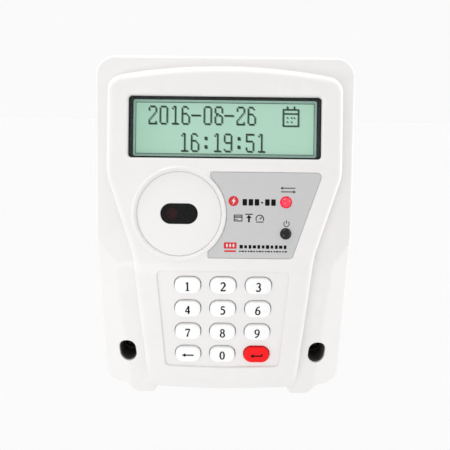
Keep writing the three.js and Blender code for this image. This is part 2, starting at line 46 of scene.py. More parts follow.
# ---------- driving dimensions, in millimetres ----------
HALF_TOP = 61.4
HALF_FOOT = 59.0
TOP = 82.7
BOTTOM = -78.3
SAG = 1.3
SAG_HALF = 32
FOOT_TIP = -82.7
WALL = 2.5
GAP = 0.3
SPLIT = 8.0
STEP = 6.4
DISPLAY_LEAN = 10
KEYPAD_LEAN = -8.5
DISPLAY_DEPTH = 40
DISPLAY_HEIGHT = 5.7
BEND_AT = -20.0
BEND_RADIUS = 24.0
FACE_END = -55.0
CHIN_DEPTH = 28.2
WINDOW = {"width": 89.5, "height": 28.8, "radius": 1.7, "y": 45.2}
PORT = {"x": -20.7, "y": 5.0, "radius": 19.2, "rim": 21.6}
EYE = {"length": 17.4, "height": 9.6, "pitch": 7.4}
LAMP = {"x": 28.6, "y": 10.8, "radius": 2.5}
OFF = {"x": 28.6, "y": -3.7, "radius": 2.35}
LEGEND_TOP = 24.5
LEGEND_LOW = -15.3
KEY = {"width": 12.0, "height": 8.0, "radius": 3.6, "column": 16.5, "row": 12.0, "first": -8.8}
PAD = {"top": -1.8, "bottom": -51.3, "half_top": 30.8, "half_bottom": 27.4, "sink": 1.1}
WELL_EDGE = 0.6
SCREW = {"x": 46.6, "z": -59.5, "width": 8.4, "height": 11.0}
CREASE_LEAN = math.atan2(5.6, 63.5)
RIM_FILLET = 1.4
FACE_FILLET = 3.1
FACE_FLARE = 1.0
FACE_CORNER = 5.0
FACE_LOW_HALF = 36.2
FACE_SPREAD = 0.0832
ARCH_TOP = 77.6
ARCH_FLATNESS = 562
THROUGH = -6.0  # a level behind the skin of the cover, where cutters start


# ---------- faces ----------
class Face:
    """A leaning face: x across the case, y up the face and a level measured out of it."""

    def __init__(self, lean, depth, height):
        self.lean = math.radians(lean)
        self.depth = depth
        self.height = height

    def side(self, y, level=0.0):
        """Depth off the wall and height of a point."""
        s, c = math.sin(self.lean), math.cos(self.lean)
        return self.depth - y * s + level * c, self.height + y * c + level * s

    def point(self, x, y, level=0.0):
        depth, height = self.side(y, level)
        return Vector((x, -depth, height))

    def depth_at(self, height, level=0.0):
        rise = (height - self.height) * math.sin(self.lean)
        return self.depth + (level - rise) / math.cos(self.lean)


BACK = Face(0, 0, 0)
BEND = DISPLAY_LEAN - KEYPAD_LEAN
UPPER = Face(DISPLAY_LEAN, DISPLAY_DEPTH, DISPLAY_HEIGHT)
LOWER = Face(KEYPAD_LEAN, *UPPER.side(BEND_AT))
bend_centre = UPPER.side(BEND_AT + BEND_RADIUS * math.tan(math.radians(BEND / 2)), -BEND_RADIUS)
face_end = LOWER.side(FACE_END)
chin_slope = (CHIN_DEPTH - face_end[0]) / (BOTTOM - face_end[1])


def softer(a, b, width):
    """The lesser of two depths, rounded where they meet."""
    share = max(width - abs(a - b), 0) / width
    return min(a, b) - share * share * width / 4


def shoulder_plane(height, level=-STEP):
    return min(UPPER.depth_at(height, level), LOWER.depth_at(height, level))


crease = [Vector((x, -shoulder_plane(z), z)) for x, z in ((51.0, -14.1), (45.4, -77.6), (59.6, -2.3))]
crease_normal = (crease[1] - crease[0]).cross(crease[2] - crease[0]).normalized()


def corner_depth(x, height):
    """Each lower corner falls away from a crease."""
    n, p = crease_normal, crease[0]
    return -(p.y - (n.x * (abs(x) - p.x) + n.z * (height - p.z)) / n.y)


def shoulder_depth(x, height):
    flat = softer(UPPER.depth_at(height, -STEP), LOWER.depth_at(height, -STEP), 0.7)
    return softer(flat, corner_depth(x, height), 0.5)


def sag(x):
    """The bottom edge and the chin's edge hang a little lower in their middle."""
    return SAG * max(0, 1 - (x / SAG_HALF) ** 2)


def below_face(x, height):
    """How far a point lies past the keypad face's lower edge, which has rounded corners."""
    half = FACE_LOW_HALF + (height - BOTTOM) * FACE_SPREAD
    across = abs(x) - half + FACE_CORNER
    past = face_end[1] - sag(x) - height
    if across <= 0 or past <= -FACE_CORNER:
        return past
    return math.hypot(across, past + FACE_CORNER) - FACE_CORNER


def face_depth(x, height):
    """Depth of the raised face: display face, bend, keypad face and chin."""
    rise = height - bend_centre[1]
    if rise > BEND_RADIUS * math.sin(UPPER.lean):
        flat = UPPER.depth_at(height)
    elif rise < BEND_RADIUS * math.sin(LOWER.lean):
        flat = LOWER.depth_at(height)
    else:
        flat = bend_centre[0] + math.sqrt(BEND_RADIUS**2 - rise**2)
    return softer(flat, face_end[0] - below_face(x, height) * chin_slope, 0.8)


# ---------- outlines ----------
def rounded(corners, steps=8):
    """A closed outline from corners (x, y, radius), running anticlockwise."""
    points = []
    for i, corner in enumerate(corners):
        here = Vector(corner[:2])
        radius = corner[2] if len(corner) > 2 else 0
        if not radius:
            points.append(here)
            continue
        a = (Vector(corners[i - 1][:2]) - here).normalized()
        b = (Vector(corners[(i + 1) % len(corners)][:2]) - here).normalized()
        half = math.acos(max(-1, min(1, a.dot(b)))) / 2
        centre = here + (a + b).normalized() * (radius / math.sin(half))
        start = here + a * (radius / math.tan(half)) - centre
        end = here + b * (radius / math.tan(half)) - centre
        first = math.atan2(start.y, start.x)
        sweep = (math.atan2(end.y, end.x) - first + math.pi) % (2 * math.pi) - math.pi
        for k in range(steps + 1):
            angle = first + sweep * k / steps
            points.append(centre + radius * Vector((math.cos(angle), math.sin(angle))))
    return points


def mirrored(half):
    """The right half of an outline from bottom to top, closed by its mirror image."""
    return half + [(-c[0], *c[1:]) for c in reversed(half) if c[0] > 0]


def box2(width, height, radius=0, x=0, y=0, steps=6):
    w, h = width / 2, height / 2
    signs = ((1, -1), (1, 1), (-1, 1), (-1, -1))
    return rounded([(x + a * w, y + b * h, radius) for a, b in signs], steps)


def circle(radius, x=0, y=0, steps=48):
    turn = 2 * math.pi / steps
    return [Vector((x + radius * math.cos(turn * i), y + radius * math.sin(turn * i))) for i in range(steps)]


def inset(points, distance):
    """An outline moved inwards by a distance, or by a function of the point."""
    moved = []
    for i, point in enumerate(points):
        a = (point - points[i - 1]).normalized()
        b = (points[(i + 1) % len(points)] - point).normalized()
        by = distance(point) if callable(distance) else distance
        moved.append(point + Vector((-a.y - b.y, a.x + b.x)) * (by / (1 + a.dot(b))))
    return moved


def shaped(points, gap=3.0):
    """An outline with points added so that no side is longer than a gap."""
    out = []
    for i, point in enumerate(points):
        after = points[(i + 1) % len(points)]
        count = max(1, math.ceil((after - point).length / gap))
        out += [point.lerp(after, k / count) for k in range(count)]
    return out


# ---------- solids ----------
def made(name, vertices, faces):
    mesh = bpy.data.meshes.new(name)
    mesh.from_pydata(vertices, [], faces)
    bm = bmesh.new()
    bm.from_mesh(mesh)
    bmesh.ops.recalc_face_normals(bm, faces=bm.faces)
    bm.to_mesh(mesh)
    bm.free()
    obj = bpy.data.objects.new(name, mesh)
    bpy.context.scene.collection.objects.link(obj)
    return obj


def loft(rings, face=BACK):
    """A solid through rings (points, level) of equal length; a level may be a function."""
    count = len(rings[0][0])
    vertices = []
    for points, level in rings:
        for p in points:
            at = level(p) if callable(level) else level
            vertices.append(face.point(p.x, p.y, at))
    faces = [list(range(count))[::-1]]
    for r in range(len(rings) - 1):
        for i in range(count):
            a, b = r * count + i, r * count + (i + 1) % count
            faces.append([a, b, b + count, a + count])
    faces.append([(len(rings) - 1) * count + i for i in range(count)])
    return made("work", vertices, faces)


def slab(points, low, high, face=BACK):
    return loft([(points, low), (points, high)], face)


def turned(profile, x, y, face=UPPER, steps=72):
    """A turned solid from (radius, level) pairs, from low to high."""
    return loft([(circle(radius, x, y, steps), level) for radius, level in profile], face)


def arc(steps=5):
    """Pairs (1 - sin, 1 - cos) through a quarter turn."""
    angles = [math.pi / 2 * k / steps for k in range(steps + 1)]
    return [(1 - math.sin(a), 1 - math.cos(a)) for a in angles]


def rounded_cut(points, edge, low, face):
    """A cutter whose opening has an edge rounded off by a radius."""
    rise = math.tan(math.pi / 20)
    rings = [(inset(points, -edge - 1.5), 1.5 * rise)]
    rings += [(inset(points, -edge * out), -edge * down) for out, down in arc()]
    rings.append((points, low))
    return loft(list(reversed(rings)), face)


def pillow(points, low, high, edge, face, top=None, steps=5):
    """A solid with a rounded upper edge, and a crown on top where one is asked for."""
    rings = [(points, low)]
    rings += [(inset(points, edge * down), high - edge * out) for out, down in arc(steps)]
    if top:
        centre = sum(points, Vector((0, 0))) / len(points)
        last = rings[-1][0]
        for k in (1, 2, 3):
            share = k / 4
            rings.append(([p.lerp(centre, share) for p in last], high + top * share * (2 - share)))
    return loft(rings, face)


def drop(obj):
    mesh = obj.data
    bpy.data.objects.remove(obj)
    bpy.data.meshes.remove(mesh)


def evaluated(obj):
    """Replaces an object's mesh by what its modifiers make of it."""
    bpy.context.view_layer.update()
    result = bpy.data.meshes.new_from_object(obj.evaluated_get(bpy.context.evaluated_depsgraph_get()))
    old = obj.data
    obj.modifiers.clear()
    obj.data = result
    bpy.data.meshes.remove(old)
    return obj


def combine(obj, other, operation):
    modifier = obj.modifiers.new("join", "BOOLEAN")
    modifier.operation = operation
    modifier.solver = "MANIFOLD"
    modifier.object = other
    evaluated(obj)
    if not obj.data.vertices:
        raise RuntimeError("a boolean gave an empty mesh")
    drop(other)
    return obj


def unite(obj, *others):
    for other in others:
        combine(obj, other, "UNION")
    return obj


def cut(obj, *others):
    for other in others:
        combine(obj, other, "DIFFERENCE")
    return obj


def joined(objects):
    """Several solids kept as they are in one mesh."""
    bm = bmesh.new()
    for obj in objects:
        bm.from_mesh(obj.data)
        drop(obj)
    mesh = bpy.data.meshes.new("work")
    bm.to_mesh(mesh)
    bm.free()
    obj = bpy.data.objects.new("work", mesh)
    bpy.context.scene.collection.objects.link(obj)
    return obj


def fold(obj, depth_of, lines):
    """Splits a flat slab along lines (x, z, angle, side), then sets each point's depth.

    A line with side 1 or -1 splits only what lies in that outer part of the case.
    """
    bm = bmesh.new()
    bm.from_mesh(obj.data)

    def outer(f, side):
        return f.calc_center_median().x * side > 30 and min(v.co.x * side for v in f.verts) > 29

    for x, z, angle, side in lines:
        faces = [f for f in bm.faces if side == 0 or outer(f, side)]
        geometry = list({g for f in faces for g in (*f.verts, *f.edges)}) + faces
        bmesh.ops.bisect_plane(
            bm, geom=geometry, dist=1e-5, plane_co=(x, 0, z),
            plane_no=(-math.sin(angle), 0, math.cos(angle)),
        )
    bmesh.ops.triangulate(bm, faces=bm.faces)
    for v in bm.verts:
        v.co.y = -depth_of(v.co.x, v.co.z, -v.co.y)
    if bm.calc_volume(signed=True) < 0:
        bmesh.ops.reverse_faces(bm, faces=bm.faces)
    bm.to_mesh(obj.data)
    bm.free()
    return obj


def shade(obj, angle=32):
    """Smooth shading, with edges sharper than an angle kept sharp."""
    bm = bmesh.new()
    bm.from_mesh(obj.data)
    for f in bm.faces:
        f.smooth = True
    for e in bm.edges:
        e.smooth = len(e.link_faces) == 2 and e.calc_face_angle(0) <= math.radians(angle)
    bm.to_mesh(obj.data)
    bm.free()
    return obj


def flat_regions(bm):
    """The area of the nearly flat region that each face belongs to."""
    region = {}
    for first in bm.faces:
        if first in region:
            continue
        found, stack = {first}, [first]
        while stack:
            for e in stack.pop().edges:
                if len(e.link_faces) == 2 and e.calc_face_angle(9) < math.radians(0.8):
                    fresh = [f for f in e.link_faces if f not in found and f not in region]
                    found.update(fresh)
                    stack += fresh
        area = sum(f.calc_area() for f in found)
        region.update((f, area) for f in found)
    return region


def fans(v):
    """The corners round a vertex, in groups that no sharp edge divides."""
    left = set(v.link_loops)
    while left:
        stack = [left.pop()]
        fan = []
        while stack:
            corner = stack.pop()
            fan.append(corner)
            for e in (corner.edge, corner.link_loop_prev.edge):
                if e.smooth:
                    fresh = [c for c in left if e in c.face.edges]
                    left.difference_update(fresh)
                    stack += fresh
        yield fan


def even_normals(obj):
    """Corner normals that follow the widest flat beside them, so a fillet ends where it should."""
    bm = bmesh.new()
    bm.from_mesh(obj.data)
    region = flat_regions(bm)
    normal = {}
    for v in bm.verts:
        for fan in fans(v):
            total = Vector()
            for corner in fan:
                total += corner.face.normal * (corner.calc_angle() * region[corner.face] ** 2)
            normal.update((corner, total.normalized()) for corner in fan)
    corners = [normal[corner] for f in bm.faces for corner in f.loops]
    bm.free()
    obj.data.normals_split_custom_set(corners)


# ---------- materials ----------
def linear(color):
    """A colour given in display values 0 to 255, as linear light."""
    values = [c / 255 for c in color]
    return [v / 12.92 if v < 0.04045 else ((v + 0.055) / 1.055) ** 2.4 for v in values] + [1.0]


class Finish:
    """A procedural material: its nodes vary the colour, the roughness and the surface."""

    def __init__(self, name, color, rough=0.5, **more):
        self.material = bpy.data.materials.new(name)
        self.material.use_nodes = True
        self.tree = self.material.node_tree
        self.shader = self.tree.nodes["Principled BSDF"]
        self.place = self.node("ShaderNodeTexCoord").outputs["Object"]
        self.dress(color, rough, **more)

    def node(self, kind, **settings):
        made_node = self.tree.nodes.new(kind)
        for key, value in settings.items():
            if key in made_node.inputs:
                made_node.inputs[key].default_value = value
            else:
                setattr(made_node, key, value)
        return made_node

    def link(self, output, target):
        self.tree.links.new(output, target)

    def noise(self, size, detail=3.0, stretch=(1, 1, 1)):
        """A noise whose grains are a size across, in millimetres."""
        mapping = self.node("ShaderNodeMapping")
        mapping.inputs["Scale"].default_value = [s / (size * MM) for s in stretch]
        self.link(self.place, mapping.inputs["Vector"])
        noise = self.node("ShaderNodeTexNoise", Detail=detail, Scale=1.0)
        self.link(mapping.outputs["Vector"], noise.inputs["Vector"])
        return noise.outputs["Fac"]

    def span(self, source, low, high):
        ranged = self.node("ShaderNodeMapRange")
        ranged.inputs["From Min"].default_value = 0.3
        ranged.inputs["From Max"].default_value = 0.7
        ranged.inputs["To Min"].default_value = low
        ranged.inputs["To Max"].default_value = high
        self.link(source, ranged.inputs["Value"])
        return ranged.outputs["Result"]

    def blend(self, factor, low, high):
        mix = self.node("ShaderNodeMix", data_type="RGBA")
        self.link(factor, mix.inputs[0])
        for socket, value in ((mix.inputs[6], low), (mix.inputs[7], high)):
            if isinstance(value, bpy.types.NodeSocket):
                self.link(value, socket)
            else:
                socket.default_value = value
        return mix.outputs[2]

    def dress(self, color, rough, spread=0.03, mottle=9.0, grain=0.3, depth=0.01,
              stretch=(1, 1, 1), metallic=0.0, coat=0.0, specular=0.5, glow=0.0, wear=0.05):
        base = linear(color)
        dark = [c * (1 - spread) for c in base[:3]] + [1]
        light = [min(c * (1 + spread), 1) for c in base[:3]] + [1]
        tone = self.blend(self.span(self.noise(mottle, 4.0, stretch), 0, 1), dark, light)
        self.tone = tone
        self.link(tone, self.shader.inputs["Base Color"])
        fine = self.noise(grain, 2.0, stretch)
        polish = self.span(self.noise(mottle / 3), rough - wear, rough + wear)
        self.link(polish, self.shader.inputs["Roughness"])
        bump = self.node("ShaderNodeBump", Strength=0.6)
        bump.inputs["Distance"].default_value = depth * MM
        self.link(fine, bump.inputs["Height"])
        self.link(bump.outputs["Normal"], self.shader.inputs["Normal"])
        self.shader.inputs["Metallic"].default_value = metallic
        self.shader.inputs["Coat Weight"].default_value = coat
        self.shader.inputs["Coat Roughness"].default_value = 0.08
        self.shader.inputs["Specular IOR Level"].default_value = specular
        if glow:
            self.link(tone, self.shader.inputs["Emission Color"])
            self.shader.inputs["Emission Strength"].default_value = glow

    def recolor(self, output):
        """Puts another colour on the shader."""
        self.link(output, self.shader.inputs["Base Color"])
        return self


def clear(finish, share, tint, index):
    """Lets light through a finish: a share of it stays, and the rest is tinted glass."""
    tree = finish.tree
    out = tree.nodes["Material Output"]
    through = finish.node("ShaderNodeBsdfTransparent")
    through.inputs["Color"].default_value = linear(tint)
    gloss = finish.node("ShaderNodeBsdfGlossy", Roughness=0.04)
    fresnel = finish.node("ShaderNodeFresnel", IOR=index)
    body = finish.node("ShaderNodeMixShader", Fac=share)
    finish.link(through.outputs[0], body.inputs[1])
    finish.link(finish.shader.outputs[0], body.inputs[2])
    coat = finish.node("ShaderNodeMixShader")
    finish.link(fresnel.outputs[0], coat.inputs[0])
    finish.link(body.outputs[0], coat.inputs[1])
    finish.link(gloss.outputs[0], coat.inputs[2])
    finish.link(coat.outputs[0], out.inputs["Surface"])
    return finish


FINISH = {
    "cover": Finish("abs_white", (231, 229, 228), 0.36, spread=0.012, grain=0.35, depth=0.006),
    "housing": Finish("abs_white_rear", (226, 225, 224), 0.45, spread=0.015, grain=0.5, depth=0.02),
    "disc": Finish("abs_white_disc", (232, 230, 229), 0.36, spread=0.004, depth=0.002),
    "seal": Finish("seal_rubber", (38, 38, 40), 0.75, spread=0.15, grain=0.25, depth=0.03),
    "screw": Finish("black_zinc_steel", (48, 47, 46), 0.38, spread=0.2, grain=0.2, metallic=0.85, wear=0.1),
    "steel": Finish("zinc_steel", (186, 186, 180), 0.32, spread=0.12, grain=0.2, metallic=1.0, wear=0.1),
    "bezel": Finish("bezel_black", (10, 11, 14), 0.3, spread=0.12, grain=0.2, depth=0.002, specular=0.12),
    "backlight": Finish("light_guide", (214, 228, 200), 0.35, spread=0.03, grain=0.6),
    "black_part": Finish("black_moulding", (27, 27, 29), 0.5, spread=0.15, grain=0.25, depth=0.02),
    # Dark grey for the sleeves in the screw wells: painted shade inside the wells.
    "liner": Finish("well_painted_shade", (84, 81, 78), 0.85, spread=0.2, depth=0.03, specular=0.2),
    # The infrared lamp's lens glows red. This is painted light, since its own infrared light cannot be seen,
    # and it brightens the lens behind the smoked window.
    "ir_lens": Finish("ir_lens_red", (120, 34, 40), 0.16, spread=0.1, coat=0.6, glow=0.7),
    "photo_lens": Finish("photo_lens_dark", (28, 26, 32), 0.14, spread=0.1, coat=0.6),
    "legend": Finish("legend_foil", (194, 194, 195), 0.4, spread=0.012, mottle=4, grain=0.12, depth=0.004),
    "red_lens": Finish("lamp_red", (250, 24, 62), 0.18, spread=0.05, coat=0.8, glow=0.35),
    "black_gloss": Finish("button_black", (20, 16, 18), 0.24, spread=0.1, coat=0.1, specular=0.3),
    "mat": Finish("silicone_grey", (150, 150, 151), 0.7, spread=0.05, grain=0.4, depth=0.02),
    "key": Finish("silicone_white", (243, 243, 243), 0.5, spread=0.01, depth=0.006),
    "red_key": Finish("silicone_red", (245, 8, 16), 0.52, spread=0.04, depth=0.006, specular=0.25),
    "can": Finish("can_sleeve", (43, 63, 107), 0.3, spread=0.08, grain=0.4, coat=0.3),
    "ribbon": Finish("ribbon_grey", (178, 181, 188), 0.45, spread=0.1, mottle=1.2, stretch=(8, 1, 1)),
    "winding": Finish("winding_tape", (214, 176, 60), 0.35, spread=0.12, mottle=2, stretch=(1, 1, 5)),
    "sleeve": Finish("fuse_sleeve", (196, 205, 206), 0.2, spread=0.04, coat=0.4),
    "ceramic": Finish("buzzer_black", (30, 30, 32), 0.55, spread=0.2, grain=0.2, depth=0.03),
    "terminal": Finish("terminal_green", (47, 143, 91), 0.45, spread=0.06),
    "brass": Finish("brass_screw", (196, 170, 104), 0.3, spread=0.12, metallic=1.0, grain=0.2),
    "ink": Finish("print_black", (14, 13, 14), 0.6, spread=0.2, mottle=0.6, specular=0.1),
    "ink_soft": Finish("print_grey", (66, 64, 66), 0.5, spread=0.12, mottle=0.6),
    "ink_red": Finish("print_red", (206, 30, 40), 0.45, spread=0.08, mottle=0.6),
    "ink_pale": Finish("print_pale", (226, 224, 224), 0.45, spread=0.04, mottle=0.6),
    "dot": Finish("lcd_dot", (14, 34, 24), 0.5, spread=0.12, mottle=0.5, specular=0.1),
    "dot_shadow": Finish("lcd_dot_shadow", (92, 128, 108), 0.5, spread=0.08, mottle=0.5, specular=0.1),
    "lcd_line": Finish("lcd_line_green", (58, 98, 80), 0.4, spread=0.1, mottle=0.8),
    "lcd_seal": Finish("lcd_seal_pale", (178, 206, 198), 0.25, spread=0.06, mottle=2.0),
}


def board_finish():
    """Green solder resist over copper tracks."""
    finish = Finish("solder_resist", (28, 96, 56), 0.34, spread=0.1, mottle=3, coat=0.5)
    mapping = finish.node("ShaderNodeMapping")
    mapping.inputs["Scale"].default_value = [1 / (1.6 * MM)] * 3
    finish.link(finish.place, mapping.inputs["Vector"])
    cells = finish.node("ShaderNodeTexVoronoi", distance="CHEBYCHEV", feature="F1")
    finish.link(mapping.outputs["Vector"], cells.inputs["Vector"])
    track = finish.span(cells.outputs["Distance"], 0, 1)
    return finish.recolor(finish.blend(track, finish.tone, linear((46, 128, 74))))


def lcd_finish():
    """Mint green display glass with a fine reflector grain, and painted shade that darkens it towards its
    left.
    """
    finish = Finish("lcd_green", (172, 200, 182), 0.3, spread=0.025, mottle=0.5, coat=0.1, glow=0.42)
    # Painted shade: the colour, and the glow that takes it, is blended to a darker green towards the left,
    # standing in for shadow at the window's edge.
    split = finish.node("ShaderNodeSeparateXYZ")
    finish.link(finish.place, split.inputs[0])
    painted_left_shade = finish.node("ShaderNodeMapRange", interpolation_type="SMOOTHSTEP")
    painted_left_shade.inputs["From Min"].default_value = -52 * MM
    painted_left_shade.inputs["From Max"].default_value = -16 * MM
    painted_left_shade.inputs["To Min"].default_value = 0.55
    painted_left_shade.inputs["To Max"].default_value = 0.0
    finish.link(split.outputs["X"], painted_left_shade.inputs["Value"])
    tone = finish.blend(painted_left_shade.outputs["Result"], finish.tone, linear((138, 178, 154)))
    finish.link(tone, finish.shader.inputs["Emission Color"])
    return finish.recolor(tone)


FINISH["board"] = board_finish()
FINISH["lcd"] = lcd_finish()
acrylic = Finish("window_acrylic", (214, 226, 224), 0.06, spread=0.02)
FINISH["window"] = clear(acrylic, 0.02, (248, 252, 251), 1.16)
smoke = Finish("window_smoked", (16, 20, 22), 0.1, spread=0.2)
FINISH["smoked"] = clear(smoke, 0.12, (176, 174, 178), 1.26)


# ---------- pieces ----------
def place(obj, name, finish, body="case", replaces=(), angle=32, weighted=True):
    """Finishes a solid made in millimetres as a named piece on a body."""
    shade(obj, angle)
    if weighted:
        even_normals(obj)
    obj.data.transform(Matrix.Scale(MM, 4))
    obj.name = name
    obj.data.name = name
    obj.data.materials.clear()
    obj.data.materials.append(FINISH[finish].material)
    for polygon in obj.data.polygons:
        polygon.material_index = 0
    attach(obj, body)
    if replaces:
        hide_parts(*replaces)
    return obj


# The case front: shoulder, feet and raised face.
BELLY = [(x, BOTTOM - sag(x)) for x in (0, 6, 12, 18, 24)]
FOOT = [(31.8, BOTTOM, 1.0), (34.4, FOOT_TIP, 1.8), (42.4, FOOT_TIP, 4.0), (47.8, BOTTOM, 3.0)]
SIDE = [(HALF_FOOT, BOTTOM, 7.5), (HALF_TOP, TOP, 9.0)]
CASE = rounded(mirrored(BELLY + SIDE), 12)
CASE_FEET = rounded(mirrored(BELLY + FOOT + SIDE), 10)
arch = [(x, ARCH_TOP - x * x / ARCH_FLATNESS) for x in (44, 38, 32, 26, 20, 14, 7, 0)]
FACE_HALF = [(FACE_LOW_HALF, BOTTOM), (41.9, -9.8, 35), (54.8, 28.1, 25), (54.8, 72.2, 7)]
FACE = shaped(rounded(mirrored(BELLY + FACE_HALF + arch), 12), 2.5)
BACK_CODE = -90.0
BASE_CODE = -60.0


def room_between(x, z):
    """Heights of the flare and of the fillet, smaller where the face is hardly raised."""
    room = face_depth(x, z) - shoulder_depth(x, z)
    return min(FACE_FLARE, room * 0.42), min(FACE_FILLET, room * 0.5)


def lerp(a, b, share):
    return a + (b - a) * share


def shoulder_coded(back):
    """Depth of a shoulder point from its code: its back, its wall, or its rounded front."""

    def depth_of(x, z, code):
        front = shoulder_depth(x, z)
        if code >= -RIM_FILLET:
            return front + code
        return lerp(back, front - RIM_FILLET, (code - BACK_CODE) / (-RIM_FILLET - BACK_CODE))

    return depth_of


def face_coded(back):
    """Depth of a raised face point from its code: back, flare on the shoulder, wall, or top."""

    def depth_of(x, z, code):
        low, high = shoulder_depth(x, z), face_depth(x, z)
        flare, fillet = room_between(x, z)
        if code >= -fillet:
            return high + code
        if code >= BASE_CODE + flare:
            share = (code - BASE_CODE - flare) / (-fillet - BASE_CODE - flare)
            return lerp(low + flare, high - fillet, share)
        if code >= BASE_CODE - 0.1:
            return low + code - BASE_CODE
        return lerp(back, low - 0.1, (code - BACK_CODE) / (BASE_CODE - 0.1 - BACK_CODE))

    return depth_of


bend_angles = [math.radians(KEYPAD_LEAN + BEND * k / 8) for k in range(9)]
bend_heights = [bend_centre[1] + BEND_RADIUS * math.sin(angle) for angle in bend_angles]
tenths = [z / 10 for z in range(-100, -250, -1)]
crease_height = next(z for z in tenths if LOWER.depth_at(z) < UPPER.depth_at(z))
flat_creases = [(0, crease_height + d, 0, 0) for d in (-2.2, -1.1, 0, 1.1, 2.2)]
corner_creases = []
for side in (1, -1):
    start = crease[0]
    for end in crease[1:]:
        run = end - start
        angle = math.atan2(run.z, run.x * side)
        for off in (-1.2, -0.4, 0.4, 1.2):
            x = start.x * side - math.sin(angle) * off
            corner_creases.append((x, start.z + math.cos(angle) * off, angle, side))


def rim_rings(points, edge, back):
    rounds = [(inset(points, edge * down), -edge * out) for out, down in arc(6)]
    return [(points, back), *rounds]


edges_x = [(29.5, 0, math.pi / 2, 0), (-29.5, 0, math.pi / 2, 0)]
shoulder = loft(rim_rings(shaped(CASE_FEET, 4), RIM_FILLET, BACK_CODE))
fold(shoulder, shoulder_coded(SPLIT + 6), edges_x + flat_creases + corner_creases)
skirt = slab(inset(CASE, 0.004), SPLIT + GAP, SPLIT + 9)


def blendness(z):
    """1 up the face, falling towards the chin, where the raised face melts into the shoulder."""
    return max(0.25, min(1.0, 0.25 + (z + 76) * 0.075))


def near_foot(points):
    return [Vector((p.x, max(p.y, BOTTOM - sag(p.x) + 0.08))) for p in points]


def face_lift(share):
    """A code for a share of the flare's height off the shoulder."""
    return lambda p: BASE_CODE + room_between(p.x, p.y)[0] * share


def flare_width(share):
    def width(p):
        return -(FACE_FLARE + 3.6 * (1 - blendness(p.y))) * share if p.y > BOTTOM + 2 else 0

    return width


def fillet_code(down):
    return lambda p: -room_between(p.x, p.y)[1] * down


face_rings = [(near_foot(inset(FACE, flare_width(1.0))), BACK_CODE)]
face_rings.append((face_rings[0][0], lambda p: BASE_CODE - 0.1))
for out, down in arc(4)[1:-1]:
    face_rings.append((near_foot(inset(FACE, flare_width(out))), face_lift(down)))
face_rings.append((FACE, face_lift(1.0)))
for out, down in arc(6):
    by = lambda p, share=down: FACE_FILLET * blendness(p.y) * share
    face_rings.append((inset(FACE, by), fillet_code(out)))
raised = loft(face_rings)
face_folds = [(0, z, 0, 0) for z in bend_heights]
face_folds += [(0, face_end[1] + 4.8 - 0.7 * k, 0, 0) for k in range(20)]
face_folds += [(side * (30.4 + 0.9 * k), 0, math.pi / 2, 0) for k in range(8) for side in (1, -1)]
face_folds += [(x, 0, math.pi / 2, 0) for x in (-24, -18, -12, -6, 0, 6, 12, 18, 24)]
fold(raised, face_coded(SPLIT + 7), face_folds)

cover = unite(shoulder, skirt, raised)


def hollow_level(surface, wall):
    return lambda p: surface(p.x, p.y) - wall


inner_case = shaped(inset(CASE, WALL), 6)
inner_face = shaped(inset(FACE, WALL), 6)
shoulder_hollow = loft([(inner_case, 2), (inner_case, -WALL)])
fold(shoulder_hollow, lambda x, z, t: t if t > 0 else shoulder_depth(x, z) - WALL,
     edges_x + flat_creases[::2] + corner_creases[1::4])
face_hollow = loft([(inner_face, SPLIT + 7.5), (inner_face, -WALL)])
fold(face_hollow, lambda x, z, t: t if t > 0 else face_depth(x, z) - WALL, face_folds[::2])
cut(cover, shoulder_hollow, face_hollow, slab(inset(CASE, 0.9), SPLIT - 2, SPLIT + 2 + GAP))


def well(side, grow, steps=8):
    """The outline of a screw well, which leans along the crease."""
    width = SCREW["width"] + grow
    turn = Matrix.Rotation(-side * CREASE_LEAN, 2)
    points = box2(width, SCREW["height"] + grow, width / 2 - 0.1, 0, 0, steps)
    return [turn @ p + Vector((side * SCREW["x"], SCREW["z"])) for p in points]


unite(cover, slab(box2(67, 52, 2, 0, -27), -PAD["sink"] - 2.3, -1, LOWER))
for side in (1, -1):
    unite(cover, loft([(well(side, 3.6), SPLIT + 4), (well(side, 3.6), hollow_level(shoulder_depth, 1.25))]))
POSTS = [(50.2, 48), (-50.2, 48), (38.5, -13.5), (-38.5, -13.5)]
for x, y in POSTS:
    unite(cover, slab(circle(2.8, x, y, 32), -14.7, -1.2, UPPER))

# The ring round the reader port, its bore, and the sunk panels.
px, py, rim = PORT["x"], PORT["y"], PORT["rim"]
ring = [(rim + 0.8, -1.2), (rim + 0.62, -0.1), (rim + 0.42, 0.06), (rim + 0.18, 0.2), (rim + 0.02, 0.36)]
ring += [(rim - 0.08, 0.5), (rim - 0.26, 0.63), (rim - 0.5, 0.7), (rim - 2.2, 0.7)]
unite(cover, turned(ring, px, py, steps=120))
bore = PORT["radius"] + GAP
funnel = [(bore, THROUGH), (bore, -1.0), (bore + 0.1, -0.86), (rim - 1.3, 0.2), (rim - 1.2, 0.45)]
funnel += [(rim - 1.05, 0.62), (rim - 0.8, 0.72), (rim - 0.5, 0.8), (rim - 0.5, 3)]
cut(cover, turned(funnel, px, py, steps=120))

w = WINDOW
opening = box2(w["width"], w["height"], w["radius"], 0, w["y"], 8)
cut(cover, rounded_cut(opening, 1.3, THROUGH, UPPER))


def legend_outline():
    """The plate fits round the port on its left and slants in on its right."""
    reach = rim + 0.4
    top = math.asin((LEGEND_TOP - py) / (reach + 2.8))
    low = math.asin((LEGEND_LOW - py) / (reach + 2.8))
    left = []
    for k in range(17):
        angle = top + (low - top) * (k + 0.5) / 17
        left.append((px + reach * math.cos(angle), py + reach * math.sin(angle)))
    corners = [(-7.2, LEGEND_LOW, 0.8), (31.6, LEGEND_LOW, 2)]
    corners += [(45.6, LEGEND_TOP, 2), (-6.4, LEGEND_TOP, 0.8)]
    return rounded(corners + left, 8)


legend = legend_outline()
cut(cover, rounded_cut(legend, 0.35, -0.5, UPPER))
for at in (LAMP, OFF):
    cut(cover, slab(circle(at["radius"] + GAP, at["x"], at["y"]), THROUGH, 3, UPPER))

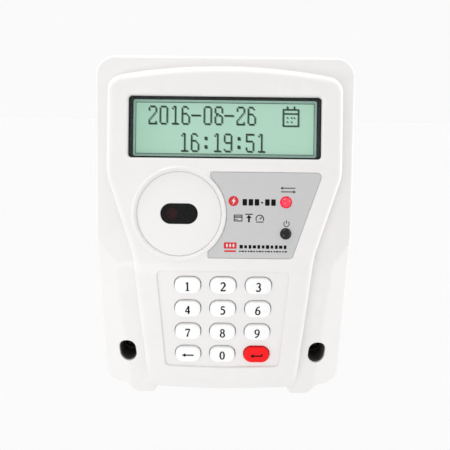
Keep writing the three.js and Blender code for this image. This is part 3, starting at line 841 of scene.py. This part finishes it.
pad = rounded([
    (PAD["half_bottom"], PAD["bottom"], 2), (PAD["half_top"], PAD["top"], 2),
    (-PAD["half_top"], PAD["top"], 2), (-PAD["half_bottom"], PAD["bottom"], 2),
    (0, PAD["bottom"] - 0.9),
])
cut(cover, rounded_cut(pad, 0.7, -PAD["sink"], LOWER))
KEY_NAMES = [f"key_{digit}" for digit in range(1, 10)] + ["key_clear", "key_0", "key_enter"]
KEYS = {
    name: ((i % 3 - 1) * KEY["column"], KEY["first"] - i // 3 * KEY["row"])
    for i, name in enumerate(KEY_NAMES)
}
for x, y in KEYS.values():
    hole = box2(KEY["width"] + 0.6, KEY["height"] + 0.6, KEY["radius"] + 0.3, x, y)
    low = -PAD["sink"]
    rings = [(hole, THROUGH), (hole, low - 0.35), (inset(hole, -0.1), low - 0.1)]
    rings += [(inset(hole, -0.4), low + 0.05), (inset(hole, -0.4), low + 1)]
    cut(cover, loft(rings, LOWER))
for side in (1, -1):
    outline = well(side, 0)
    rings = [(outline, SPLIT + 6), (outline, hollow_level(shoulder_depth, WELL_EDGE))]
    for out, down in list(reversed(arc(4)))[1:]:
        by = lambda p, down=down: shoulder_depth(p.x, p.y) - WELL_EDGE * down
        rings.append((inset(outline, -WELL_EDGE * out), by))
    rings.append((inset(outline, -1.6), lambda p: shoulder_depth(p.x, p.y) + 0.25))
    rings.append((inset(outline, -1.6), 50))
    cut(cover, loft(rings), slab(circle(2.2, side * SCREW["x"], SCREW["z"], 24), 0, 60))
for x, y in POSTS:
    cut(cover, slab(circle(1.3, x, y, 20), -17, THROUGH, UPPER))
place(cover, "front_cover_moulding", "cover", replaces=["front_cover"], angle=30)


# ---------- reader port ----------
def stadium(length, height):
    return box2(length, height, height / 2 - 0.05, px, py, 10)


disc_radius = PORT["radius"] + 0.24
dish = [(22.6, -4.3), (22.6, -2.8), (disc_radius, -2.79), (disc_radius, -0.95), (disc_radius - 0.06, -0.82)]
dish += [(disc_radius - 0.2, -0.73), (disc_radius - 0.6, -0.64), (17.2, -0.5), (15, -0.36), (11, -0.3)]
disc = turned(dish, px, py, steps=120)
cut(disc, rounded_cut(stadium(EYE["length"], EYE["height"]), 0.45, THROUGH, UPPER))
cut(disc, slab(stadium(EYE["length"] + 3.6, EYE["height"] + 3.6), THROUGH, -2, UPPER))
place(disc, "reader_disc_dished", "disc", replaces=["reader_disc"], angle=28)
pane = pillow(stadium(EYE["length"] + 3, EYE["height"] + 3), -3.8, -2.3, 0.2, UPPER, steps=3)
place(pane, "reader_window_pane", "smoked", replaces=["reader_window"])


def lamp(node, x, y, top, low, finish):
    """A 5 mm lamp with a flange, a barrel and a dome, on two leads."""
    radius = LAMP["radius"]
    profile = [(2.95, low), (2.95, low + 0.9), (2.85, low + 1.0), (radius, low + 1.01)]
    profile.append((radius, top - radius))
    for k in range(1, 9):
        angle = math.pi / 2 * k / 8.5
        profile.append((radius * math.cos(angle), top - radius + radius * math.sin(angle)))
    body = turned(profile, x, y, steps=40)
    for dx in (-1.27, 1.27):
        unite(body, slab(box2(0.5, 0.5, 0.1, x + dx, y, 2), -14.7, low + 0.5, UPPER))
    return place(body, node + "_dome", finish, replaces=[node])


eyes = [px - EYE["pitch"] / 2, px + EYE["pitch"] / 2]
lamp("infrared_led", eyes[0], py, -5, -13.4, "ir_lens")
lamp("phototransistor", eyes[1], py, -5, -13.4, "photo_lens")

# ---------- display ----------
window = pillow(box2(92.6, 31.8, 1.5, 0, w["y"]), -4.3, -2.8, 0.15, UPPER, steps=2)
place(window, "lcd_window_pane", "window", replaces=["lcd_window"])
OPENING = {"width": 85.8, "height": 26.4}
bezel = slab(box2(91.6, 33, 1, 0, w["y"]), -8.4, -4.6, UPPER)
cut(bezel, slab(box2(89.6, 31, 0.6, 0, w["y"]), -9, -5.2, UPPER))
cut(bezel, loft([
    (box2(OPENING["width"], OPENING["height"], 0.8, 0, w["y"]), -9),
    (box2(OPENING["width"], OPENING["height"], 0.8, 0, w["y"]), -4.95),
    (box2(OPENING["width"] + 0.9, OPENING["height"] + 0.9, 1.1, 0, w["y"]), -4.3),
], UPPER))
place(bezel, "lcd_bezel_frame", "bezel", replaces=["lcd_bezel"])
glass = pillow(box2(88.8, 30.2, 0.4, 0, w["y"], 3), -7.3, -5.5, 0.12, UPPER, steps=2)
place(glass, "lcd_glass_cell", "lcd", replaces=["lcd_glass"])
MARK_SUNK = 0.02


def flat_marks(name, outlines, level, thick, finish):
    """Thin printed shapes standing on a level of the display face."""
    solids = [slab(points, level - MARK_SUNK, level + thick, UPPER) for points in outlines]
    return place(joined(solids), name, finish, weighted=False)


def frame_lines(width, height, thick, y):
    """Four strips round a rectangle."""
    out = []
    for s in (1, -1):
        out.append(box2(width + thick, thick, 0, 0, y + s * height / 2))
        out.append(box2(thick, height - thick, 0, s * width / 2, y))
    return out


GLASS_TOP = -5.5
LINE = {"width": 83.6, "height": 24.0}
border = frame_lines(LINE["width"] + 1.1, LINE["height"] + 1.1, 0.75, w["y"])
flat_marks("lcd_seal_line", border, GLASS_TOP, 0.02, "lcd_seal")
view_line = frame_lines(LINE["width"], LINE["height"], 0.34, w["y"])
flat_marks("lcd_view_line", view_line, GLASS_TOP, 0.03, "lcd_line")

# Dot-matrix characters: strokes on a grid of dots, drawn cell by cell.
GLYPHS = {
    "0": ["2,0 5,0", "1,1 1,9", "6,1 6,9", "2,10 5,10"],
    "1": ["2,9 3,10", "4,10 4,0", "2,0 6,0"],
    "2": ["1,8 1,9", "2,10 5,10", "6,9 6,7", "5,6 2,3", "1,2 1,0", "1,0 6,0", "6,1 6,1"],
    "5": ["1,10 6,10", "1,10 1,6", "2,6 5,6", "6,5 6,1", "5,0 2,0", "1,1 1,2"],
    "6": ["5,9 5,9", "2,10 4,10", "1,9 1,1", "2,0 5,0", "6,1 6,4", "2,6 4,6", "5,5 5,5"],
    "8": ["2,10 5,10", "1,9 1,7", "6,9 6,7", "2,6 5,5", "2,5 3,6", "1,4 1,1", "6,4 6,1", "2,0 5,0"],
    "9": ["2,10 5,10", "1,9 1,6", "6,9 6,1", "2,5 5,5", "2,0 5,0", "1,1 1,1"],
    "-": ["0,5 6,5"],
    ":": ["3,8 4,8", "3,7 4,7", "3,2 4,2", "3,3 4,3"],
}
CALENDAR = ["1,0 12,0", "1,12 12,12", "1,0 1,12", "12,0 12,12", "1,9 12,9", "4,13 4,14", "9,13 9,14"]
CALENDAR += ["4,6 4,6", "7,6 7,6", "9,6 9,6", "4,3 4,3", "7,3 7,3"]
DOT = {"x": 0.645, "y": 0.80, "fill": 0.94}


def dots_of(strokes):
    """Cells that straight strokes cover."""
    cells = set()
    for stroke in strokes:
        (x0, y0), (x1, y1) = [tuple(int(v) for v in end.split(",")) for end in stroke.split(" ")]
        steps = max(abs(x1 - x0), abs(y1 - y0), 1)
        for k in range(steps + 1):
            cells.add((round(x0 + (x1 - x0) * k / steps), round(y0 + (y1 - y0) * k / steps)))
    return sorted(cells)


def dot_row(text, left, base):
    """Dots of a line of characters on an eight-cell pitch."""
    out = []
    for i, character in enumerate(text):
        for cx, cy in dots_of(GLYPHS[character]):
            x = left + (i * 8 + cx + 0.5) * DOT["x"]
            y = base + (cy + 0.5) * DOT["y"]
            out.append(box2(DOT["x"] * DOT["fill"], DOT["y"] * DOT["fill"], 0, x, y))
    return out


def shadow_of(outlines):
    """The dots' shadow on the reflector behind the glass."""
    return [[p + Vector((0.42, -0.3)) for p in points] for points in outlines]


date, clock = dot_row("2016-08-26", -36.6, 46.9), dot_row("16:19:51", -21.8, 34.2)
flat_marks("lcd_row_date", date, GLASS_TOP, 0.05, "dot")
flat_marks("lcd_row_time", clock, GLASS_TOP, 0.05, "dot")
icon_row = DOT["y"] * 0.8
calendar = [
    box2(DOT["x"] * DOT["fill"], icon_row * DOT["fill"], 0, 26.6 + cx * DOT["x"], 46.8 + cy * icon_row)
    for cx, cy in dots_of(CALENDAR)
]
flat_marks("lcd_calendar_icon", calendar, GLASS_TOP, 0.05, "dot")
flat_marks("lcd_dot_shadow", shadow_of(date + clock + calendar), GLASS_TOP, 0.03, "dot_shadow")

# ---------- legend plate ----------
plate = pillow(inset(legend, 0.15), -0.2, 0.1, 0.08, UPPER, steps=2)
for at in (LAMP, OFF):
    cut(plate, slab(circle(at["radius"] + GAP, at["x"], at["y"]), -2, 2, UPPER))
place(plate, "label_plate_foil", "legend", replaces=["label_plate"])
PLATE_TOP = 0.1


def moved(points, x, y, scale=1.0, turn=0.0):
    rotate = Matrix.Rotation(turn, 2)
    return [rotate @ (Vector(p) * scale) + Vector((x, y)) for p in points]


def band(points, widths, weight=0.0):
    """An outline along a line of points, with a width at each and a weight added to it."""
    line = [Vector(p) for p in points]
    left, right = [], []
    for i, p in enumerate(line):
        ahead = line[i + 1] if i + 1 < len(line) else p
        behind = line[i - 1] if i else p
        run = (ahead - behind).normalized()
        width = widths[i] if isinstance(widths, (list, tuple)) else widths
        off = Vector((-run.y, run.x)) * (width + weight) / 2
        left.append(p + off)
        right.append(p - off)
    return right + left[::-1]


def sweep(cx, cy, rx, ry, start, end, steps=14):
    """Points along part of an ellipse, in degrees."""
    angles = [math.radians(start + (end - start) * k / steps) for k in range(steps + 1)]
    return [(cx + rx * math.cos(a), cy + ry * math.sin(a)) for a in angles]


bolt = [(-0.35, -1.7), (1.0, 0.35), (0.2, 0.3), (0.55, 1.7), (-0.95, -0.2), (-0.1, -0.15)]
flat_marks("label_energy_disc", [circle(2.35, 4.4, 11.1)], PLATE_TOP, 0.03, "ink_red")
flat_marks("label_energy_bolt", [moved(bolt, 4.4, 11.1)], PLATE_TOP, 0.05, "ink_pale")
blocks = [box2(2.1, 3.0, 0.35, x, 10.6) for x in (9.6, 12.4, 15.2, 20.0, 22.8)]
blocks.append(box2(0.9, 0.8, 0.3, 17.6, 10.5))
flat_marks("label_bold_blocks", blocks, PLATE_TOP, 0.03, "ink")


def card_icon(x, y):
    out = [box2(4.0, 0.42, 0, x, y + s * 1.35) for s in (1, -1)]
    out += [box2(0.42, 2.3, 0, x + s * 1.79, y) for s in (1, -1)]
    return out + [box2(3.1, 0.55, 0, x, y + 0.45), box2(1.2, 0.35, 0, x - 0.8, y - 0.6)]


def slot_icon(x, y):
    arrow = [(-0.42, -1.9), (0.42, -1.9), (0.42, 0.1), (1.3, 0.1), (0, 1.5), (-1.3, 0.1), (-0.42, 0.1)]
    return [moved(arrow, x, y + 0.1), box2(3.6, 0.45, 0, x, y + 1.9)]


def gauge_icon(x, y):
    ring = band(sweep(x, y - 0.3, 1.75, 1.75, -30, 210, 20), 0.42)
    needle = band([(x, y - 0.5), (x + 0.95, y + 0.75)], 0.4)
    return [ring, needle, box2(3.4, 0.42, 0, x, y - 1.75)]


icons = card_icon(6.6, 3.3) + slot_icon(11.6, 3.2) + gauge_icon(16.6, 3.3)
flat_marks("label_use_icons", icons, PLATE_TOP, 0.03, "ink")
red_block = [box2(5.9, 2.9, 0.35, 3.1, -9.4), box2(5.4, 0.8, 0.2, 3.1, -12.0)]
flat_marks("label_red_block", red_block, PLATE_TOP, 0.03, "ink_red")
bars = [box2(0.7, 1.5, 0.3, 3.1 + dx, -9.4) for dx in (-1.5, 0, 1.5)]
flat_marks("label_block_bars", bars, PLATE_TOP, 0.05, "ink_pale")
dashes = []
for k in range(11):
    dashes.append(box2(1.25 + 0.3 * (k % 3 == 0), 1.7 - 0.25 * (k % 2), 0.2, 8.2 + 2.02 * k, -9.9))
for k in range(17):
    dashes.append(box2(0.75 + 0.45 * (k % 3 == 1), 0.62, 0.15, 7.6 + 1.32 * k, -12.0))
flat_marks("label_small_dashes", dashes, PLATE_TOP, 0.03, "ink")
pair = [(-3.6, 0), (-2.4, 0.85), (-2.4, 0.24), (3.3, 0.24), (3.3, -0.24), (-2.4, -0.24), (-2.4, -0.85)]
arrows = [moved(pair, 29.5, 17.3), moved(pair, 29.5, 15.6, 1.0, math.pi)]
flat_marks("label_signal_arrows", arrows, PLATE_TOP, 0.03, "ink_soft")
power = [band(sweep(28.9, 0.85, 1.25, 1.25, -235, 55, 20), 0.4), box2(0.42, 1.5, 0, 28.9, 1.75)]
flat_marks("label_power_mark", power, PLATE_TOP, 0.03, "ink_soft")

lamp("comm_led", LAMP["x"], LAMP["y"], 1.7, -3.9, "red_lens")
cap = [(1.5, -8.6), (1.5, -3.81), (3.4, -3.8), (3.4, -2.8), (2.35, -2.79), (2.35, 0.45), (2.3, 0.72)]
cap += [(2.16, 0.96), (1.94, 1.18), (1.6, 1.4), (1.2, 1.56), (0.8, 1.65), (0.4, 1.69), (0.1, 1.7)]
place(turned(cap, OFF["x"], OFF["y"], steps=48), "off_button_cap", "black_gloss",
      body="off_button", replaces=["off_button"])

# ---------- keypad ----------
CROWN = 0.12
KEY_TOP = 0.5
MARK_SCALE = 1.1


def stroke(points, widths):
    """A line of a key's mark, printed bold."""
    return band(points, widths, weight=0.2)


def ring_of(cx, cy, rx, ry, thin, thick, steps=22):
    """A closed bowl, thick at its sides and thin at its top and bottom."""
    angles = [math.radians(90 + 360 * k / steps) for k in range(steps + 1)]
    points = [(cx + rx * math.cos(a), cy + ry * math.sin(a)) for a in angles]
    widths = [thin + (thick - thin) * abs(math.cos(a)) for a in angles]
    return stroke(points, widths)


THIN, THICK = 0.24, 0.52
# What is printed on each key: its numeral, or an arrow.
KEY_MARKS = {
    "0": [ring_of(0, 0, 0.86, 1.82, THIN, THICK)],
    "1": [stroke([(0, -1.85), (0, 1.9)], 0.48), stroke([(-0.72, -1.85), (0.72, -1.85)], THIN),
          stroke([(-0.65, 1.35), (0.1, 1.85)], 0.28)],
    "2": [stroke(sweep(-0.02, 0.95, 0.85, 0.95, 165, -35, 14), [0.3 + 0.02 * k for k in range(15)]),
          stroke([(0.68, 0.42), (0.1, -0.5), (-0.9, -1.72)], [0.5, 0.34, 0.24]),
          stroke([(-0.95, -1.72), (0.95, -1.72)], 0.42), stroke([(0.88, -1.75), (1.08, -1.2)], 0.2)],
    "3": [stroke(sweep(-0.05, 1.0, 0.72, 0.86, 160, -85, 14), [0.26 + 0.02 * k for k in range(15)]),
          stroke(sweep(-0.1, -0.85, 0.9, 1.0, 88, -150, 14), 0.44)],
    "4": [stroke([(0.42, 1.85), (-0.95, -0.75)], 0.26), stroke([(-1.05, -0.78), (1.05, -0.78)], 0.34),
          stroke([(0.42, 1.88), (0.42, -1.88)], 0.5)],
    "5": [stroke([(-0.5, 1.66), (0.85, 1.66)], 0.42), stroke([(-0.5, 1.7), (-0.68, 0.55)], 0.26),
          stroke(sweep(-0.2, -0.65, 1.0, 1.15, 118, -130, 16), 0.44)],
    "6": [ring_of(0, -0.75, 0.85, 1.08, THIN, 0.46), stroke(sweep(0.75, -0.6, 1.6, 2.4, 88, 176, 14), 0.36)],
    "7": [stroke([(-0.85, 1.68), (0.92, 1.68)], 0.42), stroke([(-0.85, 1.7), (-1.0, 1.15)], 0.2),
          stroke([(0.85, 1.62), (0.1, -0.3), (-0.25, -1.88)], [0.26, 0.34, 0.48])],
    "8": [ring_of(0, 0.98, 0.68, 0.86, THIN, 0.42), ring_of(0, -0.9, 0.84, 0.98, THIN, 0.46)],
    "9": [ring_of(0, 0.75, 0.85, 1.08, THIN, 0.46), stroke(sweep(-0.75, 0.6, 1.6, 2.4, -92, -4, 14), 0.36)],
    "clear": [[(-2.7, 0), (-1.0, 0.95), (-1.2, 0.32), (2.5, 0.32), (2.5, -0.32), (-1.2, -0.32),
               (-1.0, -0.95)]],
    "enter": [[(-2.8, -0.1), (-1.1, 0.85), (-1.25, 0.22), (2.5, 0.22), (2.5, -0.42), (-1.25, -0.42),
               (-1.1, -1.05)],
              [(1.9, 0.0), (2.5, 0.0), (2.8, 0.95), (2.2, 0.95)]],
}


def key_mark(name, x, y):
    """A printed mark lying on the crown of a key."""
    solids = []
    for points in KEY_MARKS[name]:
        outline = [Vector(p) * MARK_SCALE + Vector((x, y - 0.25)) for p in points]
        solids.append(slab(outline, KEY_TOP - 0.05, KEY_TOP + CROWN + 0.03, LOWER))
    return joined(solids)


for name, (x, y) in KEYS.items():
    skirt = slab(box2(KEY["width"] + 2.4, KEY["height"] + 2, KEY["radius"], x, y), -4.7, -3.7, LOWER)
    outline = box2(KEY["width"], KEY["height"], KEY["radius"], x, y, 8)
    pill = pillow(outline, -4.2, KEY_TOP, 0.55, LOWER, top=CROWN, steps=5)
    finish = "red_key" if name == "key_enter" else "key"
    place(unite(pill, skirt), name + "_cap", finish, body=name, replaces=[name], angle=40)
    mark = key_mark(name.split("_")[1], x, y)
    place(mark, name + "_mark", "ink", body=name, weighted=False)

# ---------- screws and their wells ----------
for side, word in ((1, "right"), (-1, "left")):
    x, z = side * SCREW["x"], SCREW["z"]
    level = SPLIT + 6 + GAP
    head = [(1.6, -9), (1.6, -0.01), (3.4, 0), (3.5, 0.15), (3.5, 0.9), (3.36, 1.3), (3.0, 1.65)]
    head += [(2.4, 1.95), (1.6, 2.12), (0.4, 2.17)]
    screw = turned([(radius, level + above) for radius, above in head], x, z, BACK, 48)
    for wide, high in ((3.9, 0.95), (0.95, 3.9)):
        narrow, mouth = box2(wide * 0.55, high * 0.55, 0, x, z), box2(wide, high, 0, x, z)
        cut(screw, loft([(narrow, level + 0.7), (mouth, level + 3)]))
    place(screw, "cover_screw_" + word + "_head", "screw", replaces=["cover_screw_" + word])
    # A thin dark sleeve lines each well: painted shade inside the well.
    outer = inset(well(side, 0), 0.04)
    inner = inset(outer, 0.35)
    sleeve = loft([(outer, SPLIT + 6.05), (outer, lambda p: shoulder_depth(p.x, p.y) - 1.6)])
    cut(sleeve, loft([(inner, SPLIT + 6.25), (inner, 60)]), slab(circle(2.0, x, z, 32), 0, 60))
    place(sleeve, "screw_well_liner_" + word, "liner")


# ---------- carried-over nodes ----------
def dress(names, finish, bevel=0.15):
    """Gives CAD nodes a finish, and rounds their edges a little with modifiers."""
    for name in names:
        obj = nodes[name]
        obj.data.materials.clear()
        obj.data.materials.append(FINISH[finish].material)
        for polygon in obj.data.polygons:
            polygon.material_index = 0
            polygon.use_smooth = True
        normals = obj.data.attributes.get("custom_normal")
        if normals:
            obj.data.attributes.remove(normals)
        weld = obj.modifiers.new("weld", "WELD")
        weld.merge_threshold = 1e-6
        flat = obj.modifiers.new("flat", "DECIMATE")
        flat.decimate_type = "DISSOLVE"
        flat.angle_limit = math.radians(0.6)
        if bevel:
            edge = obj.modifiers.new("edge", "BEVEL")
            edge.width = bevel * MM
            edge.segments = 2
            edge.limit_method = "ANGLE"
            edge.angle_limit = math.radians(38)
            edge.use_clamp_overlap = True
            edge.harden_normals = False
        even = obj.modifiers.new("even", "WEIGHTED_NORMAL")
        even.keep_sharp = True


dress(["rear_housing"], "housing", 0.5)
dress(["case_seal"], "seal", 0)
dress(["lcd_backlight"], "backlight")
dress(["lcd_board", "keypad_board", "main_board", "supply_board"], "board", 0.08)
dress(["lcd_header", "optic_holder", "off_switch"], "black_part")
dress(["microcontroller", "memory_chip", "battery_holder"], "black_part")
dress(["cable_grommet"], "seal", 0.25)
dress(["keypad_mat"], "mat", 0.2)
dress(["clock_crystal", "clock_battery"], "steel")
dress([f"{board}_screw_{i}" for board in ("main", "supply") for i in (1, 2, 3, 4)], "steel", 0.05)
dress([f"terminal_screw_{i}" for i in (1, 2, 3)], "brass", 0.05)
dress(["buzzer"], "ceramic")
dress(["capacitor"], "can")
dress(["keypad_ribbon"], "ribbon", 0)
dress(["transformer"], "winding", 0.25)
dress(["fuse"], "sleeve")
dress(["terminal_block"], "terminal", 0.15)


# ---------- camera, light and floor ----------
scene = bpy.context.scene
scene.view_settings.view_transform = "Standard"
camera = bpy.data.objects.new("camera", bpy.data.cameras.new("camera"))
scene.collection.objects.link(camera)
scene.camera = camera
camera.location = (0.0006, -0.3354, 0.0578)
camera.data.sensor_width = 36
camera.data.lens = 52.08
look = Vector((0, math.cos(math.radians(10)), -math.sin(math.radians(10))))
camera.rotation_mode = "QUATERNION"
roll = Matrix.Rotation(math.radians(0.7), 3, "Z").to_quaternion()
camera.rotation_quaternion = look.to_track_quat("-Z", "Y") @ roll
camera.data.clip_start = 0.01

# The sky lights the case at one strength, and the camera sees it a little brighter.
world = bpy.data.worlds.new("studio")
scene.world = world
world.use_nodes = True
sky = world.node_tree
sky.nodes["Background"].inputs["Color"].default_value = (1, 1, 1, 1)
ray = sky.nodes.new("ShaderNodeLightPath")
level = sky.nodes.new("ShaderNodeMapRange")
level.inputs["To Min"].default_value = 0.9
level.inputs["To Max"].default_value = 0.955
sky.links.new(ray.outputs["Is Camera Ray"], level.inputs["Value"])
sky.links.new(level.outputs["Result"], sky.nodes["Background"].inputs["Strength"])


def soft_light(name, location, size, watts):
    """A rectangle of light aimed at the case, which leaves the floor alone."""
    data = bpy.data.lights.new(name, "AREA")
    data.shape = "RECTANGLE"
    data.size, data.size_y = size
    data.energy = watts
    light = bpy.data.objects.new(name, data)
    light.visible_camera = False
    light.location = location
    light.rotation_mode = "QUATERNION"
    light.rotation_quaternion = (-Vector(location)).to_track_quat("-Z", "Y")
    scene.collection.objects.link(light)
    light.light_linking.receiver_collection = all_but_floor


floor = made("studio_floor", [(-20, -20, 0), (20, -20, 0), (20, 20, 0), (-20, 20, 0)], [[0, 1, 2, 3]])
floor.location.z = (FOOT_TIP - 160) * MM
pale = Finish("pale_floor", (250, 250, 250), 0.7, spread=0.004, mottle=60, grain=4, specular=0.1, glow=0.11)
floor.data.materials.append(pale.material)
all_but_floor = bpy.data.collections.new("all_but_floor")
all_but_floor.objects.link(floor)
all_but_floor.collection_objects[0].light_linking.link_state = "EXCLUDE"
soft_light("low_front_key", (-0.16, -0.34, -0.1), (0.2, 0.1), 0.24)
soft_light("top_strip", (-0.05, 0.08, 0.5), (0.6, 0.2), 1.8)
soft_light("left_strip", (-0.5, 0.03, 0.1), (0.2, 0.5), 0.4)
soft_light("right_strip", (0.5, 0.03, 0.1), (0.2, 0.5), 1.1)
